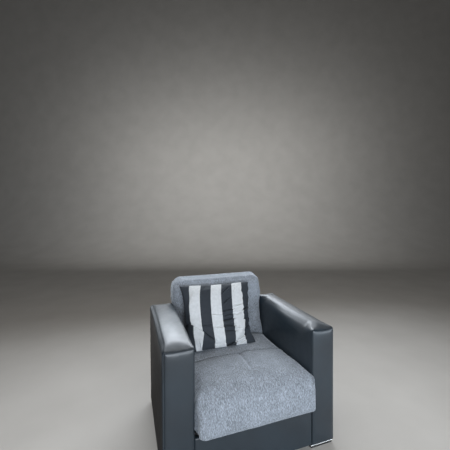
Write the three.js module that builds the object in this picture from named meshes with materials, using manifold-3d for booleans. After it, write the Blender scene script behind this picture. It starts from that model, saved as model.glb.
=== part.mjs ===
// Club armchair with box arms in coated black leather cloth, a chenille seat in two sections,
// a reclined chenille back, low chrome feet and a striped scatter cushion.
// Millimetres, +Z up, origin on the floor under the middle of the chair. The sitter faces -Y,
// and left and right are as seen by someone who stands in front of the chair.

import * as THREE from 'three';
import { mergeVertices } from 'three/addons/utils/BufferGeometryUtils.js';
import Module from 'manifold-3d';

const wasm = await Module();
wasm.setup();

// Driving dimensions

const FIT = 0.3; // gap between pieces that rest on each other
const OVERALL_DEPTH = 788.6; // seat front to the top of the outside back
const SEAT_OVERHANG = 38; // how far the seat stands proud of the arm fronts
const SEAT_WIDTH = 616; // clear width between the arms

const ARM = { width: 136, length: 670, top: 621, edge: 24, crown: 8, hem: 14 };
const FACING = { thickness: 9, puff: 4 }; // sewn panel on each end of an arm

const FOOT = { depth: 44, inset: 12, barThickness: 7, glideThickness: 8, spacerInset: 9 };
const FOOT_HEIGHT = 20;
const GLIDE_INSET = 2; // glide strip stands back from the edges of its bar

const RAIL = { thickness: 24, bottom: 25, top: 228, edge: 4, setback: 2 };
const DECK_THICKNESS = 15;
const DUST_COVER_THICKNESS = 1.5;

const SEAT = { sideTop: 390, crown: 412, frontEdge: 56, cornerRadius: 32, hem: 16, sideEdge: 18 };
const SEAT_SEAM = { depth: 312, edge: 10 }; // cross seam, measured back from the arm fronts

const BACK = { recline: 11, thickness: 106, faceAtSeat: 558, topCorner: 800, sideCorner: 52 };
const BACK_EDGE = { front: 42, rear: 36, base: 10 };
const BACK_PANEL = { thickness: 14, top: 757, edge: 12, puff: 4 };

const SCATTER = { width: 462, height: 394, thickness: 150, rim: 12, pullIn: 0.05 };
const SCATTER_POSE = { lean: 31, offset: -35, seatY: 394, seatZ: 409 }; // seat: its lower rim

// Planes that follow from them

const ARM_FRONT = SEAT_OVERHANG - OVERALL_DEPTH / 2;
const ARM_REAR = ARM_FRONT + ARM.length;
const ARM_INNER = SEAT_WIDTH / 2;
const ARM_OUTER = ARM_INNER + ARM.width;
const BETWEEN_ARMS = ARM_INNER - FIT; // half width of what fits between the arms
const RECLINE = THREE.MathUtils.degToRad(BACK.recline);
const ON_DECK = RAIL.top + FIT;

const SIDES = [{ name: 'left', sign: -1 }, { name: 'right', sign: 1 }];
const ENDS = [{ name: 'front', sign: -1 }, { name: 'rear', sign: 1 }];

// Y of the inside back's front face at height z, moved back by a distance square to the face
const backFaceY = (z, behind = 0) => ARM_FRONT + BACK.faceAtSeat
  + (z - SEAT.sideTop) * Math.tan(RECLINE) + behind / Math.cos(RECLINE);

// Materials, one for each covering

const finish = (color, roughness, metalness = 0) => ({ color, roughness, metalness });
const FINISHES = {
  leather: finish(0x2f363c, 0.42),
  chenille: finish(0x83888f, 0.95),
  stripedCotton: finish(0x9a9fa5, 0.9),
  blackBoard: finish(0x1b1b1c, 0.9),
  nonWoven: finish(0x1d1d1e, 1),
  chrome: finish(0xc8c8c6, 0.15, 1),
  blackPlastic: finish(0x141414, 0.5),
};

// Shape helpers

// Closed outline through [u, v, corner radius] rows, each corner rounded by a quadratic curve
function outline(corners) {
  const shape = new THREE.Shape();
  const count = corners.length;
  const point = (row) => new THREE.Vector2(row[0], row[1]);
  corners.forEach((corner, index) => {
    const here = point(corner);
    const before = point(corners[(index + count - 1) % count]);
    const after = point(corners[(index + 1) % count]);
    const radius = corner[2];
    const entry = here.clone().add(before.sub(here).setLength(radius));
    const exit = here.clone().add(after.sub(here).setLength(radius));
    if (index === 0) shape.moveTo(entry.x, entry.y);
    else shape.lineTo(entry.x, entry.y);
    if (radius > 0) shape.quadraticCurveTo(here.x, here.y, exit.x, exit.y);
  });
  shape.closePath();
  return shape;
}

const CURVE_STEPS = 6;
const X = new THREE.Vector3(1, 0, 0);
const Y = new THREE.Vector3(0, 1, 0);
const Z = new THREE.Vector3(0, 0, 1);

// Prism of a shape between two stations; puff rounds both rims with a bevel of that size
function prism(shape, from, to, basis, puff = 0) {
  const geometry = new THREE.ExtrudeGeometry(shape, {
    depth: to - from - 2 * puff,
    curveSegments: CURVE_STEPS,
    bevelEnabled: puff > 0,
    bevelThickness: puff,
    bevelSize: puff,
    bevelOffset: -puff,
    bevelSegments: 3,
  });
  geometry.translate(0, 0, from + puff);
  geometry.applyMatrix4(basis);
  return geometry;
}

// Shapes drawn in Y and Z run along X, shapes in X and Y along Z, shapes in X and Z along Y
const alongX = (shape, x0, x1) => prism(shape, x0, x1, new THREE.Matrix4().makeBasis(Y, Z, X));
const alongZ = (shape, z0, z1) => prism(shape, z0, z1, new THREE.Matrix4());
const alongY = (shape, y0, y1, puff) => prism(
  shape, -y1, -y0, new THREE.Matrix4().makeBasis(X, Z, Y.clone().negate()), puff);

function toSolid(geometry) {
  const bare = geometry.clone();
  bare.deleteAttribute('normal');
  bare.deleteAttribute('uv');
  const merged = mergeVertices(bare, 1e-3);
  return new wasm.Manifold(new wasm.Mesh({
    numProp: 3,
    vertProperties: merged.attributes.position.array,
    triVerts: Uint32Array.from(merged.index.array),
  }));
}

function toGeometry(solid) {
  const mesh = solid.getMesh();
  const geometry = new THREE.BufferGeometry();
  geometry.setAttribute('position', new THREE.BufferAttribute(mesh.vertProperties, 3));
  geometry.setIndex(new THREE.BufferAttribute(mesh.triVerts, 1));
  return geometry;
}

// What all the given prisms have in common
function common(first, ...others) {
  const solid = others.reduce((sum, next) => sum.intersect(toSolid(next)), toSolid(first));
  return toGeometry(solid);
}

const armchair = new THREE.Group();

function add(name, geometry, covering) {
  const mesh = new THREE.Mesh(geometry, new THREE.MeshStandardMaterial(FINISHES[covering]));
  mesh.name = name;
  armchair.add(mesh);
  return mesh;
}

// Arms: a padded box with a crowned top, closed at each end by a sewn facing panel

function armOutline(sign, bottom) {
  const inner = sign * ARM_INNER;
  const outer = sign * ARM_OUTER;
  const shoulder = ARM.top - ARM.crown;
  return outline([
    [inner, bottom, ARM.hem],
    [outer, bottom, ARM.hem],
    [outer, shoulder, ARM.edge],
    [(inner + outer) / 2, ARM.top, ARM.edge],
    [inner, shoulder, ARM.edge],
  ]);
}

for (const side of SIDES) {
  const section = armOutline(side.sign, FOOT_HEIGHT);
  const start = ARM_FRONT + FACING.thickness;
  const end = ARM_REAR - FACING.thickness;
  add(`arm_${side.name}`, alongY(section, start + FIT, end - FIT), 'leather');
  add(`arm_front_${side.name}`, alongY(section, ARM_FRONT, start, FACING.puff), 'leather');
  add(`arm_rear_${side.name}`, alongY(section, end, ARM_REAR, FACING.puff), 'leather');
}

// Feet: under each arm end a spacer, a chrome flat bar across the arm and a glide strip

const slab = (width, depth, thickness) => new THREE.BoxGeometry(width, depth, thickness);

for (const side of SIDES) {
  for (const end of ENDS) {
    const place = `${end.name}_${side.name}`;
    const armEnd = end.sign < 0 ? ARM_FRONT : ARM_REAR;
    const x = side.sign * (ARM_INNER + ARM.width / 2);
    const y = armEnd - end.sign * (FOOT.inset + FOOT.depth / 2);
    const barBottom = FOOT.glideThickness + FIT;
    const barTop = barBottom + FOOT.barThickness;
    const spacerThickness = FOOT_HEIGHT - barTop - 2 * FIT;

    const glide = slab(
      ARM.width - 2 * GLIDE_INSET, FOOT.depth - 2 * GLIDE_INSET, FOOT.glideThickness);
    add(`glide_${place}`, glide, 'blackPlastic').position.set(x, y, FOOT.glideThickness / 2);

    const bar = slab(ARM.width, FOOT.depth, FOOT.barThickness);
    add(`foot_bar_${place}`, bar, 'chrome').position.set(x, y, (barBottom + barTop) / 2);

    const spacer = slab(
      ARM.width - 2 * FOOT.spacerInset, FOOT.depth - 2 * FOOT.spacerInset, spacerThickness);
    add(`foot_spacer_${place}`, spacer, 'blackPlastic')
      .position.set(x, y, barTop + FIT + spacerThickness / 2);
  }
}

// Base: upholstered rails between the arms, the deck that carries the seat, the dust cover

const REAR_RAIL_FACE = backFaceY(RAIL.top, BACK.thickness + BACK_PANEL.thickness + FIT);
const railFronts = [
  { name: 'front_rail', from: ARM_FRONT + RAIL.setback },
  { name: 'rear_rail', from: REAR_RAIL_FACE - RAIL.thickness },
];
for (const rail of railFronts) {
  const to = rail.from + RAIL.thickness;
  const section = outline([
    [rail.from, RAIL.bottom, RAIL.edge],
    [to, RAIL.bottom, RAIL.edge],
    [to, RAIL.top, RAIL.edge],
    [rail.from, RAIL.top, RAIL.edge],
  ]);
  add(rail.name, alongX(section, -BETWEEN_ARMS, BETWEEN_ARMS), 'leather');
}

const DECK_FRONT = railFronts[0].from + RAIL.thickness + FIT;
const DECK_REAR = railFronts[1].from - FIT;

function between(z0, z1) {
  const geometry = slab(2 * BETWEEN_ARMS, DECK_REAR - DECK_FRONT, z1 - z0);
  geometry.translate(0, (DECK_FRONT + DECK_REAR) / 2, (z0 + z1) / 2);
  return geometry;
}

add('seat_deck', between(RAIL.top - DECK_THICKNESS, RAIL.top), 'blackBoard');
add('dust_cover', between(RAIL.bottom + RAIL.edge, RAIL.bottom + RAIL.edge
  + DUST_COVER_THICKNESS), 'nonWoven');

// Seat: a front section with a full front edge and a rear section, parted by the cross seam

const SEAT_FRONT = ARM_FRONT - SEAT_OVERHANG;
const SEAM_Y = ARM_FRONT + SEAT_SEAM.depth;
const ABOVE_SEAT = SEAT.crown + 1; // loose end of a prism that only trims

// Seen from the front: the top is crowned from side to side
const seatCrown = outline([
  [-BETWEEN_ARMS, ON_DECK, 0],
  [BETWEEN_ARMS, ON_DECK, 0],
  [BETWEEN_ARMS, SEAT.sideTop, SEAT.sideEdge],
  [0, 2 * SEAT.crown - SEAT.sideTop, SEAT_WIDTH / 2 - SEAT.sideEdge],
  [-BETWEEN_ARMS, SEAT.sideTop, SEAT.sideEdge],
]);

// Seen from above: the two front corners are rounded
const seatPlan = outline([
  [-BETWEEN_ARMS, SEAT_FRONT, SEAT.cornerRadius],
  [BETWEEN_ARMS, SEAT_FRONT, SEAT.cornerRadius],
  [BETWEEN_ARMS, SEAM_Y, 0],
  [-BETWEEN_ARMS, SEAM_Y, 0],
]);

// Seen from the side: [y, z, corner radius] of each section
const seatFrontProfile = outline([
  [SEAT_FRONT, ON_DECK, SEAT.hem],
  [SEAM_Y - FIT, ON_DECK, 0],
  [SEAM_Y - FIT, SEAT.crown, SEAT_SEAM.edge],
  [SEAT_FRONT, SEAT.crown, SEAT.frontEdge],
]);
const seatRearProfile = outline([
  [SEAM_Y, ON_DECK, 0],
  [backFaceY(ON_DECK, -FIT), ON_DECK, 0],
  [backFaceY(SEAT.crown, -FIT), SEAT.crown, SEAT_SEAM.edge],
  [SEAM_Y, SEAT.crown, SEAT_SEAM.edge],
]);

add('seat_front', common(
  alongX(seatFrontProfile, -BETWEEN_ARMS, BETWEEN_ARMS),
  alongZ(seatPlan, RAIL.top, ABOVE_SEAT),
  alongY(seatCrown, SEAT_FRONT, SEAM_Y),
), 'chenille');
add('seat_rear', common(
  alongX(seatRearProfile, -BETWEEN_ARMS, BETWEEN_ARMS),
  alongY(seatCrown, SEAM_Y, ARM_REAR),
), 'chenille');

// Back: a thick reclined cushion and the leather panel that closes it behind

const cushionRear = (z) => backFaceY(z, BACK.thickness);
const rearTopCorner = BACK.topCorner - BACK.thickness * Math.sin(RECLINE);
const backProfile = outline([
  [backFaceY(ON_DECK), ON_DECK, BACK_EDGE.base],
  [cushionRear(ON_DECK), ON_DECK, BACK_EDGE.base],
  [cushionRear(rearTopCorner), rearTopCorner, BACK_EDGE.rear],
  [backFaceY(BACK.topCorner), BACK.topCorner, BACK_EDGE.front],
]);
const backFront = outline([
  [-BETWEEN_ARMS, ON_DECK, 0],
  [BETWEEN_ARMS, ON_DECK, 0],
  [BETWEEN_ARMS, BACK.topCorner, BACK.sideCorner],
  [-BETWEEN_ARMS, BACK.topCorner, BACK.sideCorner],
]);
add('back_cushion', common(
  alongX(backProfile, -BETWEEN_ARMS, BETWEEN_ARMS),
  alongY(backFront, ARM_FRONT, ARM_REAR + BACK.thickness),
), 'chenille');

const panelBase = ON_DECK + BACK_PANEL.thickness * Math.sin(RECLINE);
const panelLength = (BACK_PANEL.top - panelBase) / Math.cos(RECLINE);
const panelFace = outline([
  [-BETWEEN_ARMS, 0, BACK_PANEL.edge],
  [BETWEEN_ARMS, 0, BACK_PANEL.edge],
  [BETWEEN_ARMS, panelLength, BACK_PANEL.edge],
  [-BETWEEN_ARMS, panelLength, BACK_PANEL.edge],
]);
const panel = add(
  'outside_back', alongY(panelFace, 0, BACK_PANEL.thickness, BACK_PANEL.puff), 'leather');
panel.rotation.x = -RECLINE;
panel.position.set(0, backFaceY(panelBase, BACK.thickness + FIT), panelBase);

// Scatter cushion: a square envelope, full in the middle and thin at its rim, which leans on
// the back with its lower edge on the seat

function scatterGeometry() {
  const steps = 14;
  const geometry = new THREE.BoxGeometry(SCATTER.width, SCATTER.height, 1, steps, steps, 1);
  const position = geometry.attributes.position;
  for (let i = 0; i < position.count; i += 1) {
    const u = position.getX(i) / (SCATTER.width / 2);
    const v = position.getY(i) / (SCATTER.height / 2);
    const face = Math.sign(position.getZ(i));
    const fullness = Math.sqrt((1 - u * u) * (1 - v * v));
    const half = SCATTER.rim / 2 + (SCATTER.thickness - SCATTER.rim) / 2 * fullness;
    const narrow = 1 - SCATTER.pullIn * (1 - v * v);
    const short = 1 - SCATTER.pullIn * (1 - u * u);
    position.setXYZ(i, u * narrow * SCATTER.width / 2, v * short * SCATTER.height / 2, face * half);
  }
  return toGeometry(toSolid(geometry));
}

const scatter = add('scatter_cushion', scatterGeometry(), 'stripedCotton');
const lean = THREE.MathUtils.degToRad(SCATTER_POSE.lean);
const scatterHalf = SCATTER.height / 2;
scatter.rotation.x = Math.PI / 2 - lean;
scatter.position.set(
  SCATTER_POSE.offset,
  ARM_FRONT + SCATTER_POSE.seatY + scatterHalf * Math.sin(lean),
  SCATTER_POSE.seatZ + scatterHalf * Math.cos(lean),
);

export default armchair;
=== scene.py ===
# %% [markdown]
# # A club armchair in coated leather cloth and chenille
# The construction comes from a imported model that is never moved. This lesson dresses it: each
# cell makes one upholstered piece or one finish, in metres, in the same frame as the model.

# %% The fixed frame
import math

import bpy
import numpy as np
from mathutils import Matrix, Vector, noise


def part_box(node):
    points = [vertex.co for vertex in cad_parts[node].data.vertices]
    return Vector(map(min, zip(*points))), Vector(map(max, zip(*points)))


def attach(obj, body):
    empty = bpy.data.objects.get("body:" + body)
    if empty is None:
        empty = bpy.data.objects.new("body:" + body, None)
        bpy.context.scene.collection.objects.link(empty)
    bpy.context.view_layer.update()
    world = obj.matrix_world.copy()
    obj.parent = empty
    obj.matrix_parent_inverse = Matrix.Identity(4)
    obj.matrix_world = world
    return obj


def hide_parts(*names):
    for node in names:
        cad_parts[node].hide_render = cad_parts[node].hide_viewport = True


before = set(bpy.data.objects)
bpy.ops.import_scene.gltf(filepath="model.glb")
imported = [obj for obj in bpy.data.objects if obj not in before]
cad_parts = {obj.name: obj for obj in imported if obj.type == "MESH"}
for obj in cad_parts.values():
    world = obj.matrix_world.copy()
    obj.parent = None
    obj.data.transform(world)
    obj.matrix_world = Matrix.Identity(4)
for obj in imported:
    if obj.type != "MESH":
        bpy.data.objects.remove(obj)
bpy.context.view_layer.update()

# %% [markdown]
# ## The camera
# The chair was photographed from standing height, turned a little to the right of its own axis,
# with the camera level, so that upright edges stay upright. A level camera shows less floor than
# wanted, and a small downward shift brings the seat into view without tilting the uprights.

# %% Camera
PHOTO_SIZE = 450
FOCAL_PX = 280.1
HORIZON_PX = 212.98
SENSOR = 36.0
CAMERA_PLACE = (-0.5868, -1.5695, 1.2212)
CAMERA_TURN = math.radians(19.08)

lens = bpy.data.cameras.new("photo_camera")
lens.sensor_width = SENSOR
lens.lens = FOCAL_PX / PHOTO_SIZE * SENSOR
lens.shift_y = (HORIZON_PX - PHOTO_SIZE / 2) / PHOTO_SIZE
lens.clip_start = 0.05
camera = bpy.data.objects.new("photo_camera", lens)
camera.location = CAMERA_PLACE
camera.rotation_euler = (math.pi / 2, 0, -CAMERA_TURN)
bpy.context.scene.collection.objects.link(camera)
bpy.context.scene.camera = camera
print("lens mm:", round(lens.lens, 2), "shift:", round(lens.shift_y, 4))

# %% [markdown]
# ## Colours and nodes
# Colours are written as sRGB hex values, as a colour picker shows them, and Cycles wants linear
# light. One function turns the first into the second, and one adds a node with its settings and
# links, so that a material reads as a short list. A ramp's stops are one of its settings: each
# is a place from 0 to 1 with a colour or a plain number.

# %% Helpers for materials
MM = 0.001


def per_mm(size):
    """Texture scale that repeats once in that many millimetres."""
    return 1 / (size * MM)


def linear(hex_colour):
    channels = [int(hex_colour[i:i + 2], 16) / 255 for i in (1, 3, 5)]
    bent = [c / 12.92 if c <= 0.04045 else ((c + 0.055) / 1.055) ** 2.4 for c in channels]
    return (*bent, 1.0)


# %% One function for nodes
def set_stops(elements, stops):
    while len(elements) < len(stops):
        elements.new(0.5)
    for element, (place, colour) in zip(elements, stops):
        element.position = place
        element.color = linear(colour) if isinstance(colour, str) else (colour,) * 3 + (1.0,)


def add(tree, kind, settings=None, links=None):
    node = tree.nodes.new(kind)
    for name, value in (settings or {}).items():
        if name == "stops":
            set_stops(node.color_ramp.elements, value)
        elif isinstance(name, str) and hasattr(node, name):
            setattr(node, name, value)
        else:
            node.inputs[name].default_value = value
    for name, source in (links or {}).items():
        tree.links.new(source, node.inputs[name])
    return node


# %% [markdown]
# A material starts with its surface values, on the shader's own sockets.

# %% A material
def material(name, **surface):
    """A material, its node tree and its shader, with values for the shader's sockets."""
    made = bpy.data.materials.new(name)
    made.use_nodes = True
    tree = made.node_tree
    shader = tree.nodes["Principled BSDF"]
    for socket, value in surface.items():
        shader.inputs[socket.replace("_", " ")].default_value = value
    return made, tree, shader


# %% [markdown]
# ## Polyurethane-coated leather cloth
# The arms are not hide. They are knitted cloth with a polyurethane skin, embossed with a fine
# pebble and pigmented charcoal. Both are dielectrics with a typical IOR of 1.5. One roughness
# cannot show them: the pebbled cloth spreads light widely and lifts the upright faces, and the
# thin topcoat mirrors a bright light as a pale sheet on upward ones. So the base is rough, near
# 0.5, and a smoother coat of 0.25 is laid over it at a little under half strength. The real
# pebble is about 1 mm and vanishes at this distance, so it is drawn at 2.6 mm.

# %% Leather cloth
def leather_cloth():
    made, tree, shader = material("polyurethane_coated_leather_cloth", Roughness=0.45, IOR=1.5,
                                  Coat_Weight=0.45, Coat_Roughness=0.25)
    place = add(tree, "ShaderNodeTexCoord").outputs["Object"]
    dye = add(tree, "ShaderNodeTexNoise", {"Scale": per_mm(140), "Detail": 3.0},
              {"Vector": place})
    colour = add(tree, "ShaderNodeValToRGB", {"stops": [(0.3, "#121d25"), (0.7, "#18252e")]},
                 {"Fac": dye.outputs["Fac"]})
    tree.links.new(colour.outputs["Color"], shader.inputs["Base Color"])
    rub = add(tree, "ShaderNodeTexNoise", {"Scale": per_mm(35), "Detail": 4.0},
              {"Vector": place})
    rough = add(tree, "ShaderNodeValToRGB", {"stops": [(0.3, 0.45), (0.75, 0.55)]},
                {"Fac": rub.outputs["Fac"]})
    tree.links.new(rough.outputs["Color"], shader.inputs["Roughness"])
    pebble = add(tree, "ShaderNodeTexVoronoi",
                 {"Scale": per_mm(2.6), "feature": "SMOOTH_F1"}, {"Vector": place})
    crease = add(tree, "ShaderNodeTexNoise",
                 {"Scale": per_mm(22), "Detail": 2.0, "Distortion": 1.2}, {"Vector": place})
    soft = add(tree, "ShaderNodeBump", {"Strength": 0.10, "Distance": 1.5 * MM},
               {"Height": crease.outputs["Fac"]})
    grain = add(tree, "ShaderNodeBump", {"Strength": 0.12, "Distance": 0.3 * MM, "invert": True},
                {"Height": pebble.outputs["Distance"], "Normal": soft.outputs["Normal"]})
    tree.links.new(grain.outputs["Normal"], shader.inputs["Normal"])
    return made


LEATHER = leather_cloth()
print(LEATHER.name, "is made of", len(LEATHER.node_tree.nodes), "nodes")

# %% [markdown]
# ## Chenille
# Chenille yarn is a core with short pile standing out of it, woven so that the pile lies in
# short runs. The pile throws light back at grazing angles, which the sheen layer does, and each
# run leans its own way, so the cloth looks flecked. The flecks run up the front of the seat and
# back across its top. Real runs are about 2 mm by 6 mm, drawn at 2.4 mm by 9 mm to show. Where
# many runs lean alike they join into streaks, drawn at 3.8 mm by 26 mm.

# %% Chenille cloth
SIDE_STARTS = 0.72  # where a face points further sideways than this, its runs stand upright


def chenille_cloth():
    made, tree, shader = material(
        "chenille", Roughness=0.92, IOR=1.45, Sheen_Weight=0.85, Sheen_Roughness=0.35,
        Sheen_Tint=linear("#dfe6ee"))
    shader.inputs["Specular IOR Level"].default_value = 0.25
    coordinates = add(tree, "ShaderNodeTexCoord")
    place = coordinates.outputs["Object"]
    normal = add(tree, "ShaderNodeSeparateXYZ", links={"Vector": coordinates.outputs["Normal"]})
    sideways = add(tree, "ShaderNodeMath", {"operation": "ABSOLUTE"}, {0: normal.outputs["X"]})
    on_side = add(tree, "ShaderNodeMath", {"operation": "GREATER_THAN", 1: SIDE_STARTS},
                  {0: sideways.outputs[0]})

    def runs(wide, long):
        scales = ((wide, long, long), (long, wide, long))
        face, side = (add(tree, "ShaderNodeMapping", {"Scale": tuple(map(per_mm, scale))},
                          {"Vector": place}).outputs["Vector"] for scale in scales)
        laid = add(tree, "ShaderNodeMix", {"data_type": "VECTOR"},
                   {0: on_side.outputs[0], 4: face, 5: side}).outputs[1]
        return add(tree, "ShaderNodeTexNoise", {"Scale": 1.0, "Detail": 2.0, "Roughness": 0.6},
                   {"Vector": laid}).outputs["Fac"]

    flecked = add(tree, "ShaderNodeMix", {"data_type": "FLOAT", 0: 0.2},
                  {2: runs(2.4, 9), 3: runs(3.8, 26)})
    drift = add(tree, "ShaderNodeTexNoise", {"Scale": per_mm(60), "Detail": 3.0},
                {"Vector": place})
    mixed = add(tree, "ShaderNodeMix", {"data_type": "FLOAT", 0: 0.12},
                {2: flecked.outputs[0], 3: drift.outputs["Fac"]})
    stops = [(0.35, "#5b5f63"), (0.5, "#7c8289"), (0.65, "#a1a8b2")]
    colour = add(tree, "ShaderNodeValToRGB", {"stops": stops}, {"Fac": mixed.outputs[0]})
    tree.links.new(colour.outputs["Color"], shader.inputs["Base Color"])
    pile = add(tree, "ShaderNodeBump", {"Strength": 0.3, "Distance": 1.0 * MM},
               {"Height": flecked.outputs[0]})
    tree.links.new(pile.outputs["Normal"], shader.inputs["Normal"])
    return made


CHENILLE = chenille_cloth()
print(CHENILLE.name, "is made of", len(CHENILLE.node_tree.nodes), "nodes")

# %% [markdown]
# ## Striped cotton
# The scatter cushion's cover is plain-woven cotton with seven broad stripes in dyed yarn. The
# stripes bend with the cloth, so they are drawn in the cloth's own coordinates, where 0 to 1
# spans the panel. Cotton is matt, with a trace of sheen. Its threads are 0.4 mm apart and drawn
# at about 1.6 mm: the wave texture makes 20 / (2 pi) bands for each unit of scale, so a scale of
# 100 gives some 320 threads over the 0.5 m panel.

# %% Striped cotton
STRIPES = 7
THREADS = 100


def striped_cotton():
    made, tree, shader = material(
        "striped_plain_weave_cotton", Roughness=0.75, IOR=1.5, Sheen_Weight=0.1,
        Sheen_Roughness=0.3)
    shader.inputs["Specular IOR Level"].default_value = 0.25
    cloth = add(tree, "ShaderNodeUVMap", {"uv_map": "cloth"}).outputs["UV"]
    across = add(tree, "ShaderNodeSeparateXYZ", links={"Vector": cloth}).outputs["X"]
    count = add(tree, "ShaderNodeMath", {"operation": "MULTIPLY", 1: STRIPES * 0.5},
                {0: across})
    phase = add(tree, "ShaderNodeMath", {"operation": "FRACT"}, {0: count.outputs[0]})
    stops = [(0.0, "#2c3137"), (0.494, "#2c3137"), (0.506, "#c2c5c7"), (1.0, "#c2c5c7")]
    stripe = add(tree, "ShaderNodeValToRGB", {"stops": stops}, {"Fac": phase.outputs[0]})
    place = add(tree, "ShaderNodeTexCoord").outputs["Object"]
    slub = add(tree, "ShaderNodeTexNoise", {"Scale": per_mm(16), "Detail": 4.0},
               {"Vector": place})
    worn = add(tree, "ShaderNodeValToRGB", {"stops": [(0.3, 0.86), (0.7, 1.0)]},
               {"Fac": slub.outputs["Fac"]})
    dyed = add(tree, "ShaderNodeMix", {"data_type": "RGBA", "blend_type": "MULTIPLY", 0: 1.0},
               {6: stripe.outputs["Color"], 7: worn.outputs["Color"]})
    tree.links.new(dyed.outputs[2], shader.inputs["Base Color"])
    threads = [add(tree, "ShaderNodeTexWave", {"Scale": THREADS, "bands_direction": way,
                                               "Distortion": 0.6}, {"Vector": cloth})
               for way in ("X", "Y")]
    weave = add(tree, "ShaderNodeMath", {"operation": "MAXIMUM"},
                {0: threads[0].outputs["Fac"], 1: threads[1].outputs["Fac"]})
    bump = add(tree, "ShaderNodeBump", {"Strength": 0.25, "Distance": 0.3 * MM},
               {"Height": weave.outputs[0]})
    tree.links.new(bump.outputs["Normal"], shader.inputs["Normal"])
    return made


COTTON = striped_cotton()
print(COTTON.name, "is made of", len(COTTON.node_tree.nodes), "nodes")

# %% [markdown]
# ## Small finishes
# Chrome on flat steel, moulded polypropylene and spunbonded cambric finish the parts under the
# chair. The chrome is a metal, so it keeps the default IOR, and its low roughness of 0.14 shows
# as a bright line along each edge. The others are matt, with a fine mottle of their own scale.

# %% Chrome, polypropylene, cambric and lined board
def plain_finish(name, hex_low, hex_high, grain_mm, roughness, **surface):
    made, tree, shader = material(name, Roughness=roughness, **surface)
    place = add(tree, "ShaderNodeTexCoord").outputs["Object"]
    grain = add(tree, "ShaderNodeTexNoise", {"Scale": per_mm(grain_mm), "Detail": 4.0},
                {"Vector": place})
    colour = add(tree, "ShaderNodeValToRGB", {"stops": [(0.35, hex_low), (0.65, hex_high)]},
                 {"Fac": grain.outputs["Fac"]})
    tree.links.new(colour.outputs["Color"], shader.inputs["Base Color"])
    bump = add(tree, "ShaderNodeBump", {"Strength": 0.1, "Distance": 0.2 * MM},
               {"Height": grain.outputs["Fac"]})
    tree.links.new(bump.outputs["Normal"], shader.inputs["Normal"])
    return made


CHROME = plain_finish("chrome_plated_steel", "#d9d9d8", "#e4e4e3", 30, 0.14, Metallic=1.0)
POLYPROPYLENE = plain_finish("moulded_polypropylene", "#141414", "#1c1c1c", 1.5, 0.5)
CAMBRIC = plain_finish("spunbonded_cambric", "#161617", "#242426", 2.0, 0.95)
LINED_BOARD = plain_finish("plywood_under_black_lining", "#18181a", "#222224", 3.0, 0.9)

# %% [markdown]
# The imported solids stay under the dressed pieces. Each gets the finish of its piece, by the
# start of its name, and all that are left are leather cloth.

# %% Finishes for the solids
LOOKS = {"foot_bar": CHROME, "foot_spacer": POLYPROPYLENE, "glide": POLYPROPYLENE,
         "seat_deck": LINED_BOARD, "dust_cover": CAMBRIC, "seat": CHENILLE, "back": CHENILLE,
         "scatter": COTTON}
for node_name, cad_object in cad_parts.items():
    chosen = next((m for start, m in LOOKS.items() if node_name.startswith(start)), LEATHER)
    cad_object.data.materials.clear()
    cad_object.data.materials.append(chosen)
print(len(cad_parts), "solids,", len(set(LOOKS.values())) + 1, "finishes")

# %% [markdown]
# ## Meshes from numpy
# Every sewn piece starts as rows of points. Three soft curves shape all of them: a step that
# starts and ends level, a bell, and noise whose lumps have a chosen size.

# %% Soft curves
def smooth_step(value):
    value = np.clip(value, 0, 1)
    return value * value * (3 - 2 * value)


def bell(distance, width):
    return np.exp(-(distance / width) ** 2)


def wobble(points, cell, seed=0):
    """Smooth noise from about -1 to 1 at each point, with lumps of that size in metres."""
    shift = Vector((seed * 7.3, seed * 3.1, seed * 5.7))
    solid = np.zeros((len(points), 3))
    solid[:, :points.shape[1]] = points / cell
    return np.array([noise.noise(Vector(p) + shift) for p in solid.tolist()])


# %% [markdown]
# These helpers join rows of points into faces and hand the result to Blender as a smooth object.
# A finished piece gets its cloth, rides on the one body and hides the nodes of the model that it
# stands for.

# %% Helpers for meshes
def grid_faces(rows, columns, closed=False):
    quads = []
    for r in range(rows - 1):
        for c in range(columns if closed else columns - 1):
            n = (c + 1) % columns
            quads.append((r * columns + c, r * columns + n,
                          (r + 1) * columns + n, (r + 1) * columns + c))
    return quads


def tube_faces(rows, columns):
    """Faces of stacked loops, with the first and the last loop closed by a cap."""
    first = tuple(range(columns - 1, -1, -1))
    last = tuple(range((rows - 1) * columns, rows * columns))
    return grid_faces(rows, columns, closed=True) + [first, last]


def mesh_object(name, points, faces):
    mesh = bpy.data.meshes.new(name)
    mesh.from_pydata(np.asarray(points, float).tolist(), [], faces)
    mesh.polygons.foreach_set("use_smooth", [True] * len(mesh.polygons))
    mesh.update()
    piece = bpy.data.objects.new(name, mesh)
    bpy.context.scene.collection.objects.link(piece)
    return piece


def finish_piece(name, points, faces, finish, slot, *nodes):
    piece = mesh_object(name, points, faces)
    piece.data.materials.append(finish)
    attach(piece, "root")
    if nodes:
        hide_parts(*nodes)
    corners = np.round(np.stack([points.min(0), points.max(0)]) / MM, 1)
    print(name, len(faces), "faces, from", corners[0], "to", corners[1], "mm")
    return piece


# %% [markdown]
# ## Arm covers
# Each arm is a timber box under foam, covered by one wrap of leather cloth that runs up the
# inner side, over the crowned top and down the outer side. At each end the wrap rolls round the
# edge and meets a facing panel in a plain seam. A loop of points round the section, repeated at
# stations along the arm, gives full control of that roll. Square coordinates name each point:
# `a` runs from the inner side to the outer side, `b` from the base to the top. The arm is drawn
# round its own middle, with the outer side at positive x, and mirrored at the end.

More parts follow.
